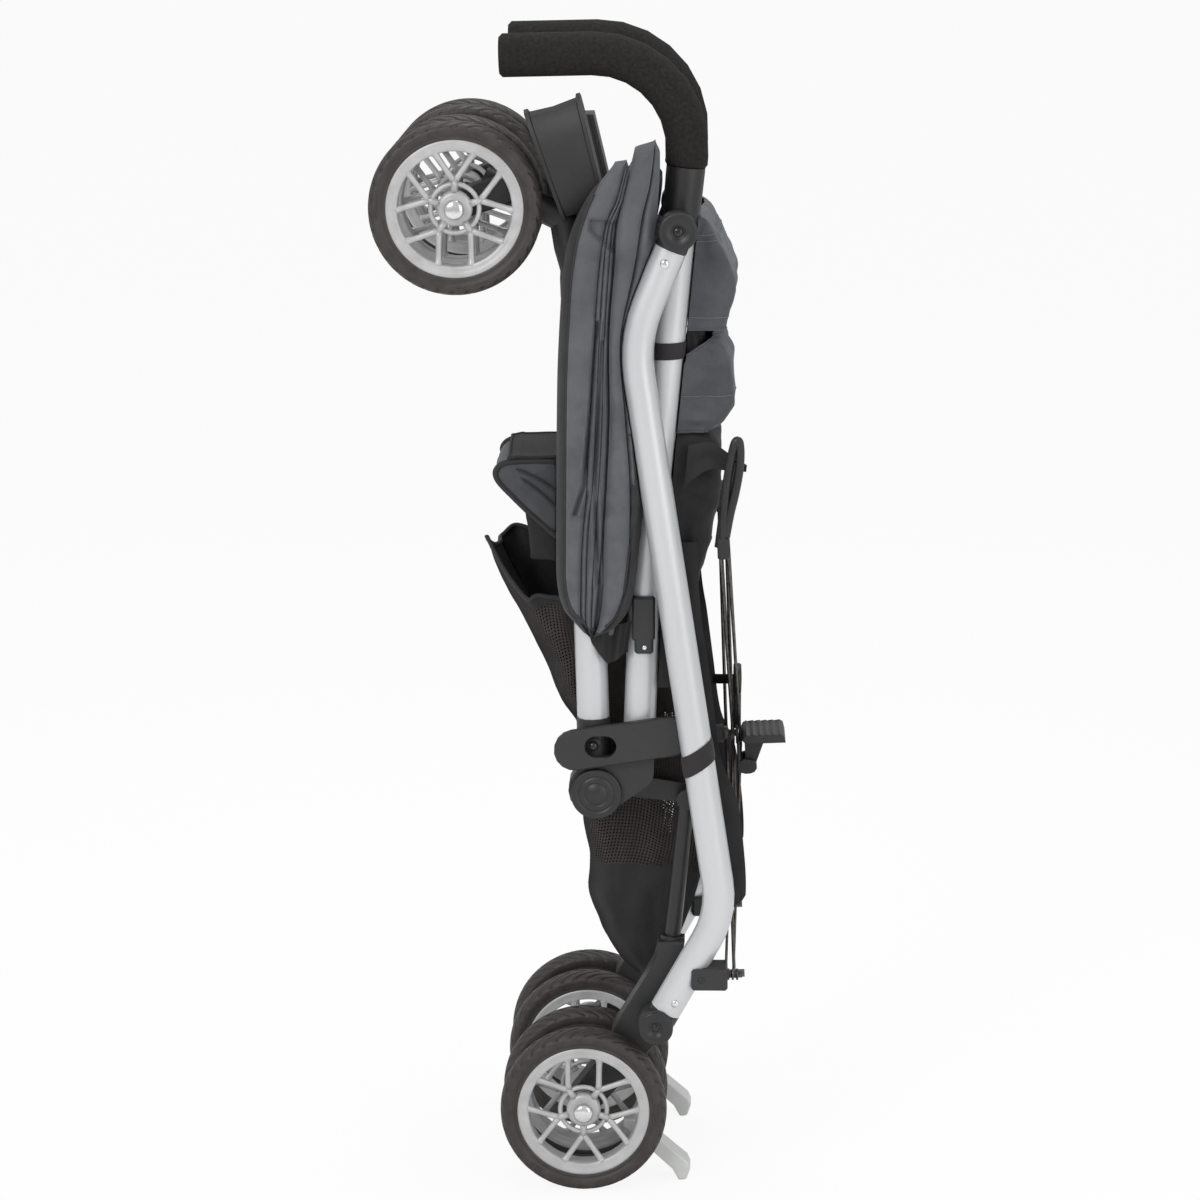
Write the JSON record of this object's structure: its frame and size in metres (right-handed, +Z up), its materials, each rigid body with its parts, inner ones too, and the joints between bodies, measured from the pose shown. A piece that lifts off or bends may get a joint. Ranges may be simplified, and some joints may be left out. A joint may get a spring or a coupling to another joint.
{
  "type": "compact stroller",
  "caption": "Folded umbrella stroller that stands on its rear wheels: paired spoked wheels, bent tube frame, cross brace with pedal, folded canopy, seat and basket.",
  "frame": {"origin": "on the floor under the middle of the folded stroller's box", "axes": "+X rear of the stroller, -Y its left side, +Z up along the folded frame"},
  "size_m": [0.3711, 0.275, 1.0508],
  "materials": {
    "silver_tube": "satin silver paint on steel tube",
    "black_plastic": "fine grained black moulding",
    "grey_plastic": "plain pale grey moulding",
    "grip_foam": "closed cell foam",
    "tyre": "moulded EVA tyre with a shallow tread",
    "wheel_rim": "silver grey moulding",
    "canopy_cloth": "slate grey woven nylon",
    "seat_cloth": "black and slate woven polyester",
    "basket_mesh": "black open mesh with woven panels",
    "brace_steel": "bright steel wire with black fittings",
    "black_metal": "black powder coat"
  },
  "bodies": {
    "root": {"rear_leg_left": "silver_tube", "leg_cap_left": "black_plastic", "leg_foot_left": "black_plastic", "brace_bracket_left": "black_plastic", "basket": "basket_mesh"},
    "leg_right": {"rear_leg_right": "silver_tube", "leg_cap_right": "black_plastic", "leg_foot_right": "black_plastic", "brace_bracket_right": "black_plastic"},
    "push_left": {"push_tube_left": "silver_tube", "handle_grip_left": "grip_foam", "handle_sleeve_left": "black_plastic", "hub_elbow_left": "black_plastic", "canopy_clamp_left": "black_plastic", "seat_back": "seat_cloth"},
    "push_right": {"push_tube_right": "silver_tube", "handle_grip_right": "grip_foam", "handle_sleeve_right": "black_plastic", "hub_elbow_right": "black_plastic", "canopy_clamp_right": "black_plastic"},
    "front_left": {"front_tube_left": "silver_tube", "front_knuckle_left": "black_plastic", "front_housing_left": "black_plastic", "leg_rest": "canopy_cloth"},
    "front_right": {"front_tube_right": "silver_tube", "front_knuckle_right": "black_plastic", "front_housing_right": "black_plastic"},
    "caster_left": {"caster_fork_left": "black_plastic"},
    "caster_right": {"caster_fork_right": "black_plastic"},
    "rear_left": {"rear_housing_left": "black_plastic", "rear_strut_left": "black_metal"},
    "rear_right": {"rear_housing_right": "black_plastic", "rear_strut_right": "black_metal"},
    "brake_left": {"brake_pedal_left": "grey_plastic"},
    "brake_right": {"brake_pedal_right": "grey_plastic"},
    "link_left": {"side_link_left": "black_metal"},
    "link_right": {"side_link_right": "black_metal"},
    "canopy_left": {"canopy_left": "canopy_cloth"},
    "canopy_right": {"canopy_right": "canopy_cloth"},
    "brace_hub": {"brace_hub": "black_plastic"},
    "brace_arm_left": {"brace_arm_left": "brace_steel"},
    "brace_arm_right": {"brace_arm_right": "brace_steel"},
    "foot_pedal": {"foot_pedal": "black_plastic"},
    "fold_latch": {"fold_latch": "black_plastic"},
    "front_wheel_left_inner": {"front_wheel_left_inner_rim": "wheel_rim", "front_wheel_left_inner_tyre": "tyre"},
    "front_wheel_left_outer": {"front_wheel_left_outer_rim": "wheel_rim", "front_wheel_left_outer_tyre": "tyre"},
    "front_wheel_right_inner": {"front_wheel_right_inner_rim": "wheel_rim", "front_wheel_right_inner_tyre": "tyre"},
    "front_wheel_right_outer": {"front_wheel_right_outer_rim": "wheel_rim", "front_wheel_right_outer_tyre": "tyre"},
    "rear_wheel_left_inner": {"rear_wheel_left_inner_rim": "wheel_rim", "rear_wheel_left_inner_tyre": "tyre"},
    "rear_wheel_left_outer": {"rear_wheel_left_outer_rim": "wheel_rim", "rear_wheel_left_outer_tyre": "tyre"},
    "rear_wheel_right_inner": {"rear_wheel_right_inner_rim": "wheel_rim", "rear_wheel_right_inner_tyre": "tyre"},
    "rear_wheel_right_outer": {"rear_wheel_right_outer_rim": "wheel_rim", "rear_wheel_right_outer_tyre": "tyre"}
  },
  "joints": [
    {"name": "front_fold", "type": "hinge", "parent": "push_left", "child": "front_left", "pos_m": [0.0123, -0.088, 0.3722], "axis": [0, -1, 0], "range_deg": [0, 128], "deforming": ["seat_back", "basket", "leg_rest"]},
    {"name": "push_fold", "type": "hinge", "parent": "root", "child": "push_left", "pos_m": [0.0842, -0.118, 0.8816], "axis": [0, 1, 0], "range_deg": [0, 12]},
    {"name": "leg_spread", "type": "slide", "parent": "root", "child": "leg_right", "axis": [0, 1, 0], "range_m": [0, 0.2]},
    {"name": "push_spread", "type": "slide", "parent": "push_left", "child": "push_right", "axis": [0, 1, 0], "range_m": [0, 0.2]},
    {"name": "front_spread", "type": "slide", "parent": "front_left", "child": "front_right", "axis": [0, 1, 0], "range_m": [0, 0.2]},
    {"name": "brace_slide", "type": "slide", "parent": "root", "child": "brace_hub", "axis": [0.0299, 0.6522, -0.7574], "range_m": [0, 0.15332]},
    {"name": "brace_turn_left", "type": "hinge", "parent": "brace_hub", "child": "brace_arm_left", "pos_m": [0.131, 0, 0.4005], "axis": [-0.9992, 0, -0.0394], "range_deg": [0, 39.47]},
    {"name": "brace_turn_right", "type": "hinge", "parent": "brace_hub", "child": "brace_arm_right", "pos_m": [0.137, 0, 0.40074], "axis": [0.9992, 0, 0.0394], "range_deg": [0, 39.47]},
    {"name": "latch_open", "type": "hinge", "parent": "root", "child": "fold_latch", "pos_m": [0.1042, -0.118, 0.4115], "axis": [-0.154, 0, 0.9881], "range_deg": [0, 36]},
    {"name": "pedal_press", "type": "hinge", "parent": "brace_hub", "child": "foot_pedal", "pos_m": [0.15311, 0, 0.37285], "axis": [0, 1, 0], "range_deg": [0, 12], "stiffness_Nm_per_rad": 0.6, "springref_deg": -14.32},
    {"name": "canopy_open", "type": "hinge", "parent": "push_left", "child": "canopy_left", "pos_m": [0.05543, -0.088, 0.529], "axis": [0, -1, 0], "range_deg": [0, 100], "deforming": ["canopy_left", "canopy_right"]},
    {"name": "canopy_spread", "type": "slide", "parent": "canopy_left", "child": "canopy_right", "axis": [0, 1, 0], "range_m": [0, 0.2]},
    {"name": "rear_fold_left", "type": "hinge", "parent": "root", "child": "rear_left", "pos_m": [0.0677, -0.118, 0.1579], "axis": [0, -1, 0], "range_deg": [0, 41]},
    {"name": "link_turn_left", "type": "hinge", "parent": "push_left", "child": "link_left", "pos_m": [0.0123, -0.0735, 0.3722], "axis": [0, 1, 0], "range_deg": [0, 36.7]},
    {"name": "caster_swivel_left", "type": "hinge", "parent": "front_left", "child": "caster_left", "pos_m": [-0.0964, -0.088, 0.92694], "axis": [-0.898, 0, 0.4399], "range_deg": [-20, 20]},
    {"name": "brake_press_left", "type": "hinge", "parent": "rear_left", "child": "brake_left", "pos_m": [0.042, -0.088, 0.056], "axis": [0, 1, 0], "range_deg": [0, 16]},
    {"name": "front_wheel_left_inner_spin", "type": "hinge", "parent": "caster_left", "child": "front_wheel_left_inner", "pos_m": [-0.1096, -0.056, 0.9], "axis": [0, 1, 0], "continuous": true},
    {"name": "front_wheel_left_outer_spin", "type": "hinge", "parent": "caster_left", "child": "front_wheel_left_outer", "pos_m": [-0.1096, -0.12, 0.9], "axis": [0, 1, 0], "continuous": true},
    {"name": "rear_wheel_left_inner_spin", "type": "hinge", "parent": "rear_left", "child": "rear_wheel_left_inner", "pos_m": [0.002, -0.056, 0.076], "axis": [0, 1, 0], "continuous": true},
    {"name": "rear_wheel_left_outer_spin", "type": "hinge", "parent": "rear_left", "child": "rear_wheel_left_outer", "pos_m": [0.002, -0.12, 0.076], "axis": [0, 1, 0], "continuous": true},
    {"name": "rear_fold_right", "type": "hinge", "parent": "leg_right", "child": "rear_right", "pos_m": [0.0677, 0.118, 0.1579], "axis": [0, -1, 0], "range_deg": [0, 41]},
    {"name": "link_turn_right", "type": "hinge", "parent": "push_right", "child": "link_right", "pos_m": [0.0123, 0.0735, 0.3722], "axis": [0, 1, 0], "range_deg": [0, 36.7]},
    {"name": "caster_swivel_right", "type": "hinge", "parent": "front_right", "child": "caster_right", "pos_m": [-0.0964, 0.088, 0.92694], "axis": [-0.898, 0, 0.4399], "range_deg": [-20, 20]},
    {"name": "brake_press_right", "type": "hinge", "parent": "rear_right", "child": "brake_right", "pos_m": [0.042, 0.088, 0.056], "axis": [0, 1, 0], "range_deg": [0, 16]},
    {"name": "front_wheel_right_inner_spin", "type": "hinge", "parent": "caster_right", "child": "front_wheel_right_inner", "pos_m": [-0.1096, 0.056, 0.9], "axis": [0, 1, 0], "continuous": true},
    {"name": "front_wheel_right_outer_spin", "type": "hinge", "parent": "caster_right", "child": "front_wheel_right_outer", "pos_m": [-0.1096, 0.12, 0.9], "axis": [0, 1, 0], "continuous": true},
    {"name": "rear_wheel_right_inner_spin", "type": "hinge", "parent": "rear_right", "child": "rear_wheel_right_inner", "pos_m": [0.002, 0.056, 0.076], "axis": [0, 1, 0], "continuous": true},
    {"name": "rear_wheel_right_outer_spin", "type": "hinge", "parent": "rear_right", "child": "rear_wheel_right_outer", "pos_m": [0.002, 0.12, 0.076], "axis": [0, 1, 0], "continuous": true}
  ],
  "couplings": [
    {"joint": "push_fold", "follows": "front_fold", "ratio": 0.09375},
    {"joint": "leg_spread", "follows": "front_fold", "m_per_rad": 0.089524},
    {"joint": "push_spread", "follows": "front_fold", "m_per_rad": 0.089524},
    {"joint": "front_spread", "follows": "front_fold", "m_per_rad": 0.089524},
    {"joint": "canopy_spread", "follows": "front_fold", "m_per_rad": 0.089524},
    {"joint": "brace_slide", "follows": "front_fold", "m_per_rad": 0.068629},
    {"joint": "brace_turn_left", "follows": "front_fold", "ratio": 0.30833},
    {"joint": "brace_turn_right", "follows": "front_fold", "ratio": 0.30833},
    {"joint": "latch_open", "follows": "front_fold", "ratio": 0.28125},
    {"joint": "canopy_open", "follows": "front_fold", "ratio": 0.78125},
    {"joint": "rear_fold_left", "follows": "front_fold", "ratio": 0.32031},
    {"joint": "link_turn_left", "follows": "front_fold", "ratio": 0.28672},
    {"joint": "rear_fold_right", "follows": "front_fold", "ratio": 0.32031},
    {"joint": "link_turn_right", "follows": "front_fold", "ratio": 0.28672}
  ]
}
